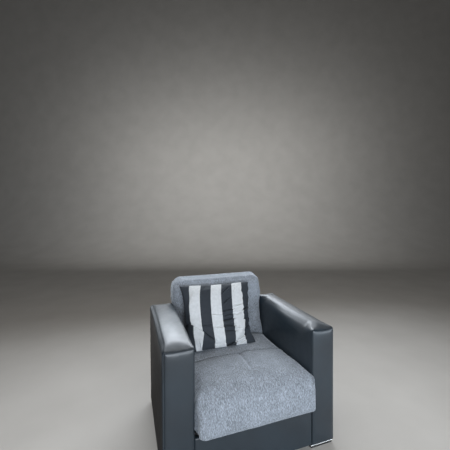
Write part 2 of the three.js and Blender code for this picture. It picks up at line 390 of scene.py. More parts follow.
# %% Arm sizes from the frame
SIDES = {"left": -1, "right": 1}
ARM_LOW, ARM_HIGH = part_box("arm_right")
FRONT_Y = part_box("arm_front_right")[0].y
REAR_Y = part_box("arm_rear_right")[1].y
ARM_HALF = (ARM_HIGH.x - ARM_LOW.x) / 2
ARM_MIDDLE = (ARM_HIGH.x + ARM_LOW.x) / 2
CROWN = 8 * MM
SHOULDER = ARM_HIGH.z - CROWN
SEAM_SETBACK = 3.5 * MM
SEAM_FRONT, SEAM_REAR = FRONT_Y + SEAM_SETBACK, REAR_Y - SEAM_SETBACK
SEAM_DEPTH = 4 * MM
print("arm:", round(2 * ARM_HALF, 3), "wide,", round(REAR_Y - FRONT_Y, 3), "long")


# %% A rounded section
def rounded_rectangle(a, b, across, upward, radius):
    """Place square coordinates on a rectangle between two spans, with arcs for corners."""
    half_w, half_h = (across[1] - across[0]) / 2, (upward[1] - upward[0]) / 2
    x, z = a * half_w, b * half_h
    dx, dz = np.abs(x) - half_w + radius, np.abs(z) - half_h + radius
    shrink = np.maximum(dx, dz) / np.maximum(np.hypot(dx, dz), 1e-9)
    corner = (dx > 0) & (dz > 0)
    x = np.where(corner, np.sign(x) * (half_w - radius + dx * shrink), x)
    z = np.where(corner, np.sign(z) * (half_h - radius + dz * shrink), z)
    return x + sum(across) / 2, z + sum(upward) / 2


# %% [markdown]
# The two arms are not twins any more: their padding has been sat on and leaned on. The left one
# keeps a crisp inner edge. The right one has sunk into one broad roll that starts within 100 mm
# of the seam, and its top leans outwards a little. A shoulder is given in mm by its radius at
# the seam and along the arm.

# %% Sections of an arm
INNER_SHOULDER = {"left": (9, 13), "right": (20, 66)}
OUTER_SHOULDER = (17, 25)
BASE_CORNER = 9
ROLL_START = {"left": 64 * MM, "right": 95 * MM}
SETBACK, SETBACK_REACH = {"left": 0, "right": 6 * MM}, 150 * MM


def between(ends, share):
    return ends[0] + (ends[1] - ends[0]) * share


def arm_section(a, b, side, from_end):
    """The section of the wrap, whose shoulders grow softer away from the seam."""
    soft = smooth_step(from_end / ROLL_START[side])
    shoulder = np.where(a < 0, between(INNER_SHOULDER[side], soft), between(OUTER_SHOULDER, soft))
    radius = np.where(b > 0, shoulder, BASE_CORNER) * MM
    x, z = rounded_rectangle(a, b, (-ARM_HALF, ARM_HALF), (ARM_LOW.z, SHOULDER), radius)
    leaning = np.clip(1 - (SHOULDER - z) / SETBACK_REACH, 0, 1) ** 2
    leaning = leaning * np.clip(-x / ARM_HALF, 0, 1)
    return x + SETBACK[side] * leaning * soft, z


# %% [markdown]
# The seam round a facing runs close to the inner edge and to the top, and is set in at the
# outside, where the wrap turns over in a thicker roll. `gap` draws it smaller, for the edge that
# is tucked in behind.

# %% The seam's line
SEAM_CORNER = {"left": (13, 6), "right": (8, 4)}  # mm, outer and inner top corners
SEAM_BASE_CORNER = 6
SEAM_INSET = {"left": 8.5 * MM, "right": 6.5 * MM}
SEAM_FROM_INSIDE, SEAM_FROM_BASE, SEAM_FROM_TOP = 1.2 * MM, 4 * MM, 1.5 * MM


def end_section(a, b, side, gap=0.0):
    outer, inner = SEAM_CORNER[side]
    radius = np.where(b > 0, np.where(a > 0, outer, inner), SEAM_BASE_CORNER) * MM - gap
    across = (-ARM_HALF + SEAM_FROM_INSIDE + gap, ARM_HALF - SEAM_INSET[side] - gap)
    upward = (ARM_LOW.z + SEAM_FROM_BASE + gap, SHOULDER - SEAM_FROM_TOP - gap)
    return rounded_rectangle(a, b, across, upward, radius)


# %% [markdown]
# Foam swells its cover past the pattern. `LIFT` raises the top at its front and its rear, `ARCH`
# raises its middle further, and `BULGE` widens the arm at its base and at its top. They act on
# finished points, so the wrap and its facings grow together and their seams stay closed.

# %% An arm filled out by its foam
LIFT = {"left": (13 * MM, 12 * MM), "right": (8 * MM, 10 * MM)}
ARCH = {"left": 11 * MM, "right": 0}
BULGE = {"left": (3 * MM, 9 * MM), "right": (0, 1 * MM)}


def filled_out(points, side):
    along = np.clip((points[:, 1] - FRONT_Y) / (REAR_Y - FRONT_Y), 0, 1)
    height = np.clip((points[:, 2] - ARM_LOW.z) / (SHOULDER - ARM_LOW.z), 0, 1)
    outward = (points[:, 0] + ARM_HALF) / (2 * ARM_HALF) * between(BULGE[side], height)
    rise = (between(LIFT[side], along) + 4 * ARCH[side] * along * (1 - along)) * height
    return points + np.stack([outward, 0 * rise, rise], 1)


# %% [markdown]
# The top is crowned, but the seam across its end is pulled down a little, so the end of the top
# falls towards it, over 28 mm at the sides and 80 mm in the middle. That fall is what ends the
# highlight before the front of each arm. `SEAM_SAG` is how far the middle of the seam
# hangs below its ends, `CROWN_SKEW` leans the crown outwards, and `CROWN_FOCUS` narrows it, so
# that it runs into the right arm's broad roll without a kink.

# %% Crown and seam
SEAM_SAG = {"left": 2.5 * MM, "right": 6 * MM}
CROWN_SKEW = {"left": 0.25, "right": 0.3}
CROWN_FOCUS = {"left": 0, "right": 2}
FALL_AT_SIDES, FALL_IN_MIDDLE = 28 * MM, 80 * MM
CROWN_BAND = 0.4  # share of the height, from the top, in which the crown fades out


def crown(a, b, side, from_end):
    middle = np.clip(1 - a * a, 0, 1)
    run = FALL_AT_SIDES + (FALL_IN_MIDDLE - FALL_AT_SIDES) * middle
    full = 1 - np.clip(1 - from_end / run, 0, 1) ** 2
    lift = CROWN * full - SEAM_SAG[side] * (1 - full)
    dome = middle ** (1 + CROWN_FOCUS[side] * full) * (1 + CROWN_SKEW[side] * a)
    return dome * lift * smooth_step((b - 1 + CROWN_BAND) / CROWN_BAND)


# %% [markdown]
# The loop of square coordinates is as dense as the section is long, one point every 5.5 mm. The
# roll round the end is a quarter of an ellipse, deeper at the outside and at the top.

# %% A loop round the section
LOOP_STEP = 5.5 * MM
ROLL_DEPTH, ROLL_MORE_OUTSIDE, ROLL_MORE_ON_TOP = 5 * MM, 5 * MM, 4 * MM


def section_loop():
    """Square coordinates round a section: base, outer side, top, inner side."""
    wide, tall = round(2 * ARM_HALF / LOOP_STEP), round((SHOULDER - ARM_LOW.z) / LOOP_STEP)
    a, b = np.linspace(-1, 1, wide + 1)[:-1], np.linspace(-1, 1, tall + 1)[:-1]
    across = np.concatenate([a, np.ones(tall), -a, -np.ones(tall)])
    upward = np.concatenate([-np.ones(wide), b, np.ones(wide), -b])
    return across, upward


def roll_depth(a, b):
    """How far along the arm the end roll reaches."""
    outside, on_top = smooth_step((a - 0.5) / 0.5), smooth_step((b - 0.9) / 0.1)
    return ROLL_DEPTH + ROLL_MORE_OUTSIDE * outside + ROLL_MORE_ON_TOP * on_top


# %% [markdown]
# From the seam the cloth turns through a quarter of an ellipse and then runs straight to the
# middle of the arm, where the rear half begins. Behind the seam it tucks in. The stations are
# close together near the seam and wider apart along the arm.

# %% Rings of an arm wrap
TUCK_GAP, TUCK_DEPTH = 2.2 * MM, 10 * MM
ROLL_RINGS, ARM_RINGS, RING_SPREAD = 9, 62, 1.35


def wrap_rings(a, b, side):
    """Half of a wrap, from the tucked edge to the middle: (distance from the seam, x, z)."""
    full, end = np.stack(arm_section(a, b, side, 0)), np.stack(end_section(a, b, side))
    tucked = np.stack(end_section(a, b, side, TUCK_GAP))
    middle, depth = (SEAM_REAR - SEAM_FRONT) / 2, roll_depth(a, b)
    inside = np.zeros_like(a)
    rings = [(inside - TUCK_DEPTH, tucked), (inside - SEAM_DEPTH, tucked),
             (inside - 0.4 * SEAM_DEPTH, between((tucked, end), 0.4))]
    for turn in np.linspace(0, math.pi / 2, ROLL_RINGS):
        rings.append((depth * (1 - math.cos(turn)), between((end, full), math.sin(turn))))
    for share in np.linspace(0, 1, ARM_RINGS)[1:] ** RING_SPREAD:
        full = np.stack(arm_section(a, b, side, (middle - depth) * share))
        rings.append((depth + (middle - depth) * share, full))
    placed = []
    for run, (x, z) in rings:
        run_out = np.maximum(run, 0)
        placed.append((np.abs(run) if run[0] < 0 else run, x, z + crown(a, b, side, run_out)))
    return placed


# %% [markdown]
# Cloth is never as true as its pattern. Three waves are added along the outward direction: a
# broad one from the foam, a short one that fans out from the seam as puckers, and a faint
# upright one on the inner side near the front, where the cloth is pulled round the timber.

# %% Folds in an arm wrap
BROAD_FOLD, PUCKER_FOLD, UPRIGHT_FOLD = 1.2 * MM, 1.4 * MM, 0.9 * MM


def fold_wrap(points, from_end, inner):
    near_seam = np.exp(-from_end / (17 * MM)) * smooth_step(from_end / (4 * MM))
    pucker = wobble(points * [1, 0.3, 1], 15 * MM, 1) * near_seam
    broad = wobble(points * [1, 0.55, 0.8], 90 * MM, 2)
    upright = wobble(points * [0, 1, 0.15], 34 * MM, 3) * np.exp(-from_end / (130 * MM)) * inner
    folds = BROAD_FOLD * broad + PUCKER_FOLD * pucker + UPRIGHT_FOLD * upright
    return folds * smooth_step(from_end / (8 * MM))


# %% [markdown]
# The outward direction of a point on the loop comes from its square coordinates: high powers of
# `a` and `b` are near one only on the sides and on the top.

# %% Arm wraps
def arm_wrap(side):
    a, b = section_loop()
    half = wrap_rings(a, b, side)
    stations = [(x, SEAM_FRONT + run, z) for run, x, z in half]
    stations += [(x, SEAM_REAR - run, z) for run, x, z in half[:-1][::-1]]
    rows, columns = len(stations), len(a)
    points = np.concatenate([np.stack(station, 1) for station in stations])
    from_end = np.minimum(points[:, 1] - SEAM_FRONT, SEAM_REAR - points[:, 1])
    a_all, b_all = np.tile(a, rows), np.tile(b, rows)
    outward = np.stack([a_all ** 9, np.zeros(len(points)), b_all ** 61], 1)
    outward /= np.maximum(np.linalg.norm(outward, axis=1, keepdims=True), 1)
    points += outward * fold_wrap(points, from_end, a_all < -0.99)[:, None]
    points = filled_out(points, side)
    sign = SIDES[side]
    points[:, 0] = sign * (points[:, 0] + ARM_MIDDLE)
    faces = tube_faces(rows, columns)
    if sign > 0:
        faces = [f[::-1] for f in faces]
    piece = finish_piece(f"arm_cover_{side}", points, faces, LEATHER, "leather", f"arm_{side}")


for side in SIDES:
    arm_wrap(side)

# %% [markdown]
# ## Panels that puff
# Facings, rails and the outside back are flat pieces of leather cloth over thin foam. Each is a
# grid of points with a flat back. The grid is finer towards its rim, because the rim is where
# the panel turns over its edge or dives into a seam.

# %% A panel's grid
RIM_CROWDING = 1.6


def panel_grid(wide, tall):
    """Square coordinates of a panel's front, and the faces of front, back and rim."""
    def spaced(count):
        t = np.linspace(-1, 1, count + 1)
        return np.sign(t) * (1 - (1 - np.abs(t)) ** RIM_CROWDING)

    a, b = (m.ravel() for m in np.meshgrid(spaced(wide), spaced(tall)))
    count, row = len(a), wide + 1
    front = grid_faces(tall + 1, row)
    back = [tuple(i + count for i in reversed(f)) for f in front]
    loop = list(range(row)) + [row * r + wide for r in range(1, tall + 1)]
    loop += [row * tall + i for i in range(wide - 1, -1, -1)]
    loop += [row * r for r in range(tall - 1, 0, -1)]
    rim = [(j, i, i + count, j + count) for i, j in zip(loop, loop[1:] + loop[:1])]
    return a, b, front + back + rim


def rim_distance(a, b, width, height):
    return np.minimum((1 - np.abs(a)) * width / 2, (1 - np.abs(b)) * height / 2)


# %% [markdown]
# ## Facings
# The facing stands a little proud in its middle and dives into the seam at its rim, with short
# puckers square to the seam. Its upper end is the fullest, where the foam of the top pushes it
# out. Noise that is read at the nearest point of the rim gives puckers that run inward from it.

# %% Relief of a facing
FACING_PUFF, TOP_PUFF = 5 * MM, 5 * MM
FACING_PUCKER, FACING_WAVE = 1.0 * MM, 0.8 * MM


def facing_relief(a, b, x, z, sign):
    """How far a facing's front stands behind its seam plane, in metres."""
    tall = SHOULDER - ARM_LOW.z
    rim = rim_distance(a, b, 2 * ARM_HALF, tall)
    at_side = (1 - np.abs(a)) * ARM_HALF < (1 - np.abs(b)) * tall / 2
    nearest = np.stack([np.where(at_side, np.sign(a) * ARM_HALF + 0.2 * x, x),
                        np.where(at_side, z, np.sign(b) + 0.2 * z), np.full_like(x, sign)], 1)
    pucker = FACING_PUCKER * wobble(nearest, 13 * MM, 5)
    pucker *= np.exp(-rim / (11 * MM)) * smooth_step(rim / (3 * MM))
    broad = FACING_WAVE * wobble(np.stack([x, 0.4 * z, np.full_like(x, 3 * sign)], 1), 60 * MM, 4)
    puff = FACING_PUFF * (1 - np.exp(-rim / (9 * MM)))
    from_top = (1 - b) * tall / 2
    puff += TOP_PUFF * (1 - np.exp(-from_top / (20 * MM))) * np.exp(-from_top / (140 * MM))
    dive = SEAM_DEPTH * np.exp(-rim / (1.2 * MM))
    return dive - puff + pucker + broad * smooth_step(rim / (12 * MM))


# %% Facings
FACING_BOARD = 2 * MM


def facing(side, end):
    sign, front = SIDES[side], end == "front"
    a, b, faces = panel_grid(28, 96)
    x, z = end_section(a, b, side, gap=0.6 * MM)
    z = z + crown(a, b, side, np.zeros_like(a))
    relief = facing_relief(a, b, x, z, sign if front else 2 * sign)
    flat = np.full_like(x, SEAM_DEPTH + FACING_BOARD)
    depth = np.concatenate([relief, flat])
    y = SEAM_FRONT + depth if front else SEAM_REAR - depth
    points = filled_out(np.stack([np.tile(x, 2), y, np.tile(z, 2)], 1), side)
    points[:, 0] = sign * (points[:, 0] + ARM_MIDDLE)
    if (sign > 0) != front:
        faces = [f[::-1] for f in faces]
    piece = finish_piece(f"facing_{end}_{side}", points, faces, LEATHER, "leather",
                         f"arm_{end}_{side}")


for side in SIDES:
    for end in ("front", "rear"):
        facing(side, end)

# %% [markdown]
# ## Blocks of foam
# The seat and the back are foam blocks in chenille covers. A block is drawn as loops stacked
# from its base to its top. Each side of the top has its own edge radius, and each upright
# corner its own, because the front of the seat rolls over far more softly than the rest. Blender
# then remeshes the block into even quads, which is what cloth simulation wants.

# %% A foam block
CORNERS = (("front", "left", 180), ("front", "right", 270), ("rear", "right", 0),
           ("rear", "left", 90))
ARC_STEPS = 7
EDGE_LOOPS = 8


def block_loop(low, high, corners, edges, turn, upper):
    """One loop, where the edge has turned by that angle from upright to flat."""
    inset = {side: radius * (1 - math.cos(turn)) for side, radius in edges.items()}
    x_span = (low[0] + inset["left"], high[0] - inset["right"])
    y_span = (low[1] + inset["front"], high[1] - inset["rear"])
    points = []
    for (y_side, x_side, start), corner in zip(CORNERS, corners):
        radius = max(corner - max(inset[x_side], inset[y_side]), MM)
        centre_x = x_span[0] + radius if x_side == "left" else x_span[1] - radius
        centre_y = y_span[0] + radius if y_side == "front" else y_span[1] - radius
        for step in range(ARC_STEPS + 1):
            angle = math.radians(start + 90 * step / ARC_STEPS)
            nx, ny = math.cos(angle), math.sin(angle)
            edge = nx * nx * edges[x_side] + ny * ny * edges[y_side]
            rise = edge * (1 - math.sin(turn))
            z = high[2] - rise if upper else low[2] + rise
            points.append((centre_x + radius * nx, centre_y + radius * ny, z))
    return points


def foam_block(low, high, corners, base, top):
    """Points and faces. base and top give the edge radius at front, right, rear and left."""
    names = ("front", "right", "rear", "left")
    turns = np.linspace(0, math.pi / 2, EDGE_LOOPS)
    loops = [block_loop(low, high, corners, dict(zip(names, base)), t, False)
             for t in turns[::-1]]
    loops += [block_loop(low, high, corners, dict(zip(names, top)), t, True) for t in turns]
    return np.array([p for loop in loops for p in loop]), tube_faces(len(loops), len(loops[0]))


# %% [markdown]
# ## Remeshing, cloth and subdivision
# Each of these is a modifier. The mesh is handed to a work object, the modifier runs, and its
# result is read back as points, so nothing is left to run later. For cloth, air pressure swells
# the cover from inside while some points stay sewn down, and the movement is capped.

# %% Modifiers that hand back points
def worked(points, faces, kind, settings, groups=None, frames=0):
    work = mesh_object("work", points, faces)
    for name, chosen in (groups or {}).items():
        if chosen is not None:
            group = work.vertex_groups.new(name=name)
            group.add(np.flatnonzero(chosen).tolist(), 1.0, "REPLACE")
    modifier = work.modifiers.new("tool", kind)
    settings(modifier)
    scene = bpy.context.scene
    for step in range(1, frames + 1):
        scene.frame_set(step)
    graph = bpy.context.evaluated_depsgraph_get()
    shaped = work.evaluated_get(graph).to_mesh()
    co = np.empty(len(shaped.vertices) * 3)
    shaped.vertices.foreach_get("co", co)
    made = [tuple(p.vertices) for p in shaped.polygons]
    bpy.data.objects.remove(work)
    scene.frame_set(1)
    return co.reshape(-1, 3), made


def remeshed(points, faces, voxel):
    def settings(modifier):
        modifier.mode = "VOXEL"
        modifier.voxel_size = voxel

    return worked(points, faces, "REMESH", settings)


def subdivided(points, faces):
    def settings(modifier):
        modifier.levels = 1
        modifier.subdivision_type = "CATMULL_CLARK"

    return worked(points, faces, "SUBSURF", settings)


# %% Cloth under pressure
CLOTH_FRAMES = 20
GATHER = 0.04


def pressed(points, faces, sewn, cap, pressure=4.0, spare=0.0, bending=0.5, gathered=None):
    """Swell a cover with air. spare is the share of extra cloth, cap the longest movement.

    cap may be one length, or one for each point."""

    def settings(modifier):
        cloth = modifier.settings
        cloth.quality = 6
        cloth.use_pressure = True
        cloth.uniform_pressure_force = pressure
        cloth.shrink_min = -spare
        cloth.bending_stiffness = bending
        cloth.effector_weights.gravity = 0
        if sewn is not None:
            cloth.vertex_group_mass = "sewn"
        if gathered is not None:
            cloth.vertex_group_shrink = "gathered"
            cloth.shrink_max = GATHER
        modifier.point_cache.frame_start = 1
        modifier.point_cache.frame_end = CLOTH_FRAMES

    groups = {"sewn": sewn, "gathered": gathered}
    swollen, _ = worked(points, faces, "CLOTH", settings, groups, CLOTH_FRAMES)
    move = swollen - points
    length = np.maximum(np.linalg.norm(move, axis=1, keepdims=True), 1e-9)
    print("cloth moved, mm: mean", round(float(length.mean()) / MM, 1),
          "most", round(float(length.max()) / MM, 1))
    cap = np.reshape(cap, (-1, 1))
    return points + move * cap * np.tanh(length / cap) / length


# %% [markdown]
# ## The seat
# One foam block is parted by a cross seam into a long front section and a short rear one. The
# foam is crowned by 22 mm in the middle of its width. Between the arms its sides are held flat by
# them. In front of the arms the right side swells over the arm's end and the left stands clear,
# more so low down, where its corner is drawn in.

# %% Seat sizes
SEAT_LOW, SEAT_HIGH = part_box("seat_front")
SEAM_Y = (SEAT_HIGH.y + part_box("seat_rear")[0].y) / 2
SEAM_GAP = 0.4 * MM
DECK_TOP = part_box("seat_deck")[1].z
SEAT_BASE_Z = DECK_TOP + 0.5 * MM
HALF_SEAT = ARM_MIDDLE - ARM_HALF - 0.8 * MM
SEAT_CROWN = 22 * MM
SEAT_SIDE_TOP = SEAT_HIGH.z - SEAT_CROWN
FOAM_TOP_Z = SEAT_SIDE_TOP - 5 * MM  # the pressed cover and the crown stand above it
STITCHED = 2 * MM  # points this close to a seam or the base are sewn down
print("seat:", round(2 * HALF_SEAT, 3), "wide, cross seam at y", round(SEAM_Y, 3))


# %% Shaping the seat's foam
def crowned(points):
    """Lift the top of a block in the middle of its width."""
    across = 1 - (points[:, 0] / HALF_SEAT) ** 2
    upward = smooth_step((points[:, 2] - SEAT_BASE_Z - 60 * MM) / (80 * MM))
    lift = SEAT_CROWN * np.clip(across, 0, 1) * upward
    return points + np.stack([0 * lift, 0 * lift, lift], 1)


LEFT_CLEAR, LEFT_CLEAR_LOW, RIGHT_SWELL = 4, 17, 2  # mm
LEFT_CORNER_Z = 355 * MM


def between_arms(points):
    """Hold the sides of a cushion between the arms, and let them free in front."""
    in_front = smooth_step((FRONT_Y - points[:, 1]) / (9 * MM))
    near_front = smooth_step((FRONT_Y + 35 * MM - points[:, 1]) / (25 * MM))
    low_down = smooth_step((LEFT_CORNER_Z - points[:, 2]) / (50 * MM))
    right = HALF_SEAT + RIGHT_SWELL * MM * in_front
    left = -HALF_SEAT + between((LEFT_CLEAR, LEFT_CLEAR_LOW), low_down) * MM * near_front
    held = points.copy()
    held[:, 0] = np.clip(points[:, 0], left, right)
    return held


# %% [markdown]
# Where the cross seam is caught by a short centre seam, the cover is pulled down in a dimple,
# which both sections share. A slow wave of 2.5 mm over the top keeps it from looking turned on
# a machine.

# %% The dimpled top
DIMPLE_X, DIMPLE_WIDTH, DIMPLE_DEPTH = 26 * MM, 24 * MM, 8 * MM
TOP_STARTS, TOP_FADE = 350 * MM, 30 * MM
CREASE_DEPTH, SLOW_WAVE = 5.5 * MM, 2.5 * MM


def settled(points, crease=0.0):
    """Sink the dimple and the crease into the top. Gives the points, and how far each is top."""
    made = points.copy()
    top = smooth_step((points[:, 2] - TOP_STARTS) / TOP_FADE)
    dimple = bell(np.hypot(points[:, 0] - DIMPLE_X, points[:, 1] - SEAM_Y), DIMPLE_WIDTH)
    made[:, 2] -= (CREASE_DEPTH * crease + DIMPLE_DEPTH * dimple) * top
    made[:, 2] += SLOW_WAVE * wobble(made, 110 * MM, 6) * top
    return made, top


# %% [markdown]
# The front section overhangs the arms and rolls over in a soft waterfall edge with a 76 mm
# radius. Its lower left corner is rounder than its right. Cloth under pressure swells the cover,
# most at the front and least at the right, where the photograph shows a flatter side. A crease
# runs forward from the dimple, the right front stands 11 mm fuller, and the low front hangs.

# %% Seat front
CREASE_X, CREASE_DRIFT, CREASE_WIDTH = 28 * MM, 0.06, 9 * MM
FRONT_SHIFT, FULL_EDGE, FRONT_HANG = 4 * MM, 11 * MM, 10 * MM


def seat_front():
    low = (-HALF_SEAT, SEAT_LOW.y + 6 * MM, SEAT_BASE_Z)
    high = (HALF_SEAT, SEAM_Y - SEAM_GAP, FOAM_TOP_Z)
    points, faces = foam_block(low, high, (46 * MM, 13 * MM, 6 * MM, 6 * MM),
                               base=(9 * MM, 10 * MM, 4 * MM, 20 * MM),
                               top=(76 * MM, 12 * MM, 5 * MM, 24 * MM))
    points, faces = remeshed(points, faces, 6.5 * MM)
    points = crowned(points)
    points[:, 0] += FRONT_SHIFT * smooth_step((FRONT_Y + 30 * MM - points[:, 1]) / (40 * MM))
    sewn = (points[:, 2] < low[2] + STITCHED) | (points[:, 1] > high[1] - STITCHED)
    cap = (1.5 + 9.5 * smooth_step((SEAM_Y - points[:, 1]) / (150 * MM))) * MM
    cap *= 1 - 0.8 * smooth_step((points[:, 0] - 160 * MM) / (120 * MM))
    points = pressed(points, faces, sewn, cap, spare=0.01)
    points, faces = subdivided(points, faces)
    crease_x = CREASE_X - CREASE_DRIFT * (SEAM_Y - points[:, 1])
    crease = bell(points[:, 0] - crease_x, CREASE_WIDTH)
    crease *= smooth_step((points[:, 1] + 330 * MM) / (140 * MM))
    points, top = settled(points, crease)
    right, ahead = points[:, 0] - 190 * MM, -100 * MM - points[:, 1]
    full_edge = smooth_step(right / (100 * MM)) * smooth_step(ahead / (130 * MM))
    points[:, 2] += FULL_EDGE * full_edge * top
    hang = smooth_step((FRONT_Y - points[:, 1]) / (12 * MM))
    hang *= smooth_step((low[2] + 90 * MM - points[:, 2]) / (90 * MM))
    points[:, 2] -= FRONT_HANG * hang
    piece = finish_piece("seat_cushion_front", between_arms(points), faces, CHENILLE, "chenille",
                         "seat_front")


seat_front()

# %% [markdown]
# The rear section is plain. Its rear side leans with the back that rests against it.

# %% Seat rear
RECLINE = math.radians(11)


def seat_rear():
    low = (-HALF_SEAT, SEAM_Y + SEAM_GAP, SEAT_BASE_Z)
    high = (HALF_SEAT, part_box("seat_rear")[1].y - 4 * MM, FOAM_TOP_Z)
    points, faces = foam_block(low, high, (6 * MM,) * 4, base=(4 * MM,) * 4,
                               top=(5 * MM, 20 * MM, 14 * MM, 20 * MM))
    points, faces = remeshed(points, faces, 8 * MM)
    points = crowned(points)
    slope = (points[:, 2] - SEAT_SIDE_TOP) * math.tan(RECLINE)
    points[:, 1] += slope * smooth_step((points[:, 1] - SEAM_Y) / (high[1] - SEAM_Y))
    sewn = (points[:, 2] < low[2] + STITCHED) | (points[:, 1] < low[1] + STITCHED)
    sewn |= points[:, 1] > high[1] + slope - 3 * MM
    cap = (1.5 + 4 * smooth_step((points[:, 1] - SEAM_Y) / (90 * MM))) * MM
    points = pressed(points, faces, sewn, cap)
    points, faces = subdivided(points, faces)
    points, _ = settled(points)
    piece = finish_piece("seat_cushion_rear", between_arms(points), faces, CHENILLE, "chenille",
                         "seat_rear")


seat_rear()

# %% [markdown]
# ## The back
# The back is a thick block that leans by 11 degrees. It is made lying down, with its front
# face up, then stood up by its own three directions: across, up along the back, and out of its
# front face.

# %% Back directions
BACK_THICKNESS = 106 * MM
BACK_FACE_Y = FRONT_Y + 558 * MM
UP_BACK = np.array([0, math.sin(RECLINE), math.cos(RECLINE)])
OUT_OF_BACK = np.array([0, -math.cos(RECLINE), math.sin(RECLINE)])
BACK_BASE_Z = DECK_TOP + 1 * MM
BACK_FOOT = np.array([0, BACK_FACE_Y + (BACK_BASE_Z - SEAT_SIDE_TOP) * math.tan(RECLINE)
                      + BACK_THICKNESS / math.cos(RECLINE), BACK_BASE_Z])
BACK_LENGTH = (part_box("back_cushion")[1].z - 4 * MM - BACK_BASE_Z) / math.cos(RECLINE)
print("back:", round(BACK_LENGTH, 3), "long,", BACK_THICKNESS, "thick")


def stand_up(points, foot):
    """Turn x, height along the back and thickness into places in the frame."""
    return (foot + points[:, :1] * [1, 0, 0] + points[:, 1:2] * UP_BACK
            + points[:, 2:] * OUT_OF_BACK)


# %% [markdown]
# Its upper left corner is rounder than its right. The front is a little full above the seat and
# flat below, where the seat presses on it. The top falls towards the front by 3 in 10, ends in a
# thin roll with a shallow valley under it, and above the arms the sides spread, more so on the
# right, and taper again towards the top, as loose filling does.

# %% Fullness of the back
BACK_TOP_FALL, BACK_FULL = 0.3, 5 * MM
ABOVE_SEAT, ABOVE_ARMS = 170 * MM, 375 * MM  # heights along the back
LEFT_SPREAD, LEFT_LIMIT = 9 * MM, 16 * MM
RIGHT_SPREAD_AT = (310, 360, 410, 474, 534)  # mm along the back
RIGHT_SPREAD = (0, 6, 19, 13, 5)
VALLEY_DEPTH, VALLEY_FROM_TOP = 4 * MM, 24 * MM


def front_of(points):
    """1 on the front face, 0 behind it."""
    return smooth_step((points[:, 2] - 60 * MM) / (40 * MM))


def spread_out(points):
    """Let the sides go above the arms, where nothing holds them."""
    above_arms = smooth_step((points[:, 1] - ABOVE_ARMS) / (50 * MM))
    points[:, 0] -= LEFT_SPREAD * above_arms * smooth_step(-points[:, 0] / (200 * MM))
    spread = np.interp(points[:, 1] / MM, RIGHT_SPREAD_AT, RIGHT_SPREAD) * MM
    points[:, 0] += spread * smooth_step(points[:, 0] / (200 * MM))
    points[:, 0] = np.clip(points[:, 0], -HALF_SEAT - LEFT_LIMIT * above_arms, HALF_SEAT + spread)


# %% Back cushion
def back_cushion():
    low = (-HALF_SEAT - 1 * MM, 0, 0)
    high = (HALF_SEAT + 1 * MM, BACK_LENGTH, BACK_THICKNESS - 3 * MM)
    points, faces = foam_block(low, high, (8 * MM, 8 * MM, 44 * MM, 78 * MM),
                               base=(8 * MM, 16 * MM, 20 * MM, 16 * MM),
                               top=(10 * MM, 9 * MM, 13 * MM, 30 * MM))
    points, faces = remeshed(points, faces, 7.5 * MM)
    near_top = smooth_step((points[:, 1] - BACK_LENGTH + 130 * MM) / (130 * MM))
    points[:, 1] -= BACK_TOP_FALL * points[:, 2] * near_top
    above_seat = smooth_step((points[:, 1] - ABOVE_SEAT) / (90 * MM))
    across = np.clip(1 - (points[:, 0] / HALF_SEAT) ** 2, 0, 1)
    points[:, 2] += BACK_FULL * above_seat * front_of(points) * across
    sewn = (points[:, 2] < 3 * MM) | (points[:, 1] < 150 * MM)
    points = pressed(points, faces, sewn, cap=10 * MM, spare=0.02)
    points, faces = subdivided(points, faces)
    points[:, 2] += 1.4 * MM * wobble(points, 110 * MM, 7) * front_of(points)
    spread_out(points)
    front_top = BACK_LENGTH - BACK_TOP_FALL * BACK_THICKNESS
    valley = bell(points[:, 1] - front_top + VALLEY_FROM_TOP, 13 * MM)
    points[:, 2] -= VALLEY_DEPTH * valley * front_of(points)
    piece = finish_piece("back_cushion_cover", stand_up(points, BACK_FOOT), faces, CHENILLE,
                         "chenille", "back_cushion")


back_cushion()

# %% [markdown]
# ## The scatter cushion
# The cover is an envelope of two equal panels sewn round all four sides, loosely filled. Its
# outline is drawn first, in the cushion's own plane, as four corners and how far each side is
# drawn in between them, because a cover gets narrower where it is full. `u` and `v` run from -1
# to 1 over the flat cloth, and `share` from 0 at the bottom seam to 1 at the top.

# %% The cushion's plane and outline
SCATTER_LEAN = math.radians(31)
SCATTER_FOOT = np.array([-35 * MM, FRONT_Y + 394 * MM, 409 * MM])
ACROSS = np.array([1.0, 0, 0])
UP_SCATTER = np.array([0, math.sin(SCATTER_LEAN), math.cos(SCATTER_LEAN)])
OUT_SCATTER = np.array([0, -math.cos(SCATTER_LEAN), math.sin(SCATTER_LEAN)])
BOTTOM_SIDE = -7 * MM


def left_side(share):
    return (-235 + np.interp(share, (0, 0.45, 0.7, 0.88, 1), (0, 8, 16, 8, -8))) * MM


def right_side(share):
    drawn_in = np.interp(share, (0, 0.08, 0.17, 0.26, 0.5, 0.7, 1), (0, 12, 34, 43, 34, 15, -2))
    return (216 + 26 * share - drawn_in) * MM


def top_side(across):
    return (402 - 9 * across - 20 * across * (1 - across)) * MM


# %% [markdown]
# The face is nearly flat and turns away steeply near the sides. The stripes keep their pitch
# over the face and crowd together where the cloth turns away. Near the seat the cushion's weight
# spreads it forward. The camera looks at the face from the left and a little from below its
# normal, so what stands out from the plane is seen further right and higher. `SLANT` is that
# shift for each metre of depth, and it ties the stripes to where they are seen.

# %% A filled cushion
FRONT_FULL, REAR_FULL = 58 * MM, 44 * MM
SLANT = np.array([0.354, 0.188])
PITCH_BELOW, PITCH_ABOVE = 65.5, 75  # mm, a stripe's width at the bottom and at the top
FLAT_SHARE = 0.63  # of the half width, beyond which the cloth turns away
MIDDLE, MIDDLE_SLOPE, MIDDLE_BEND = -12, -32, 56  # mm, how the middle stripe wanders upwards
LEFT_FULLER = 26 * MM
SPREAD_FORWARD = 0.55


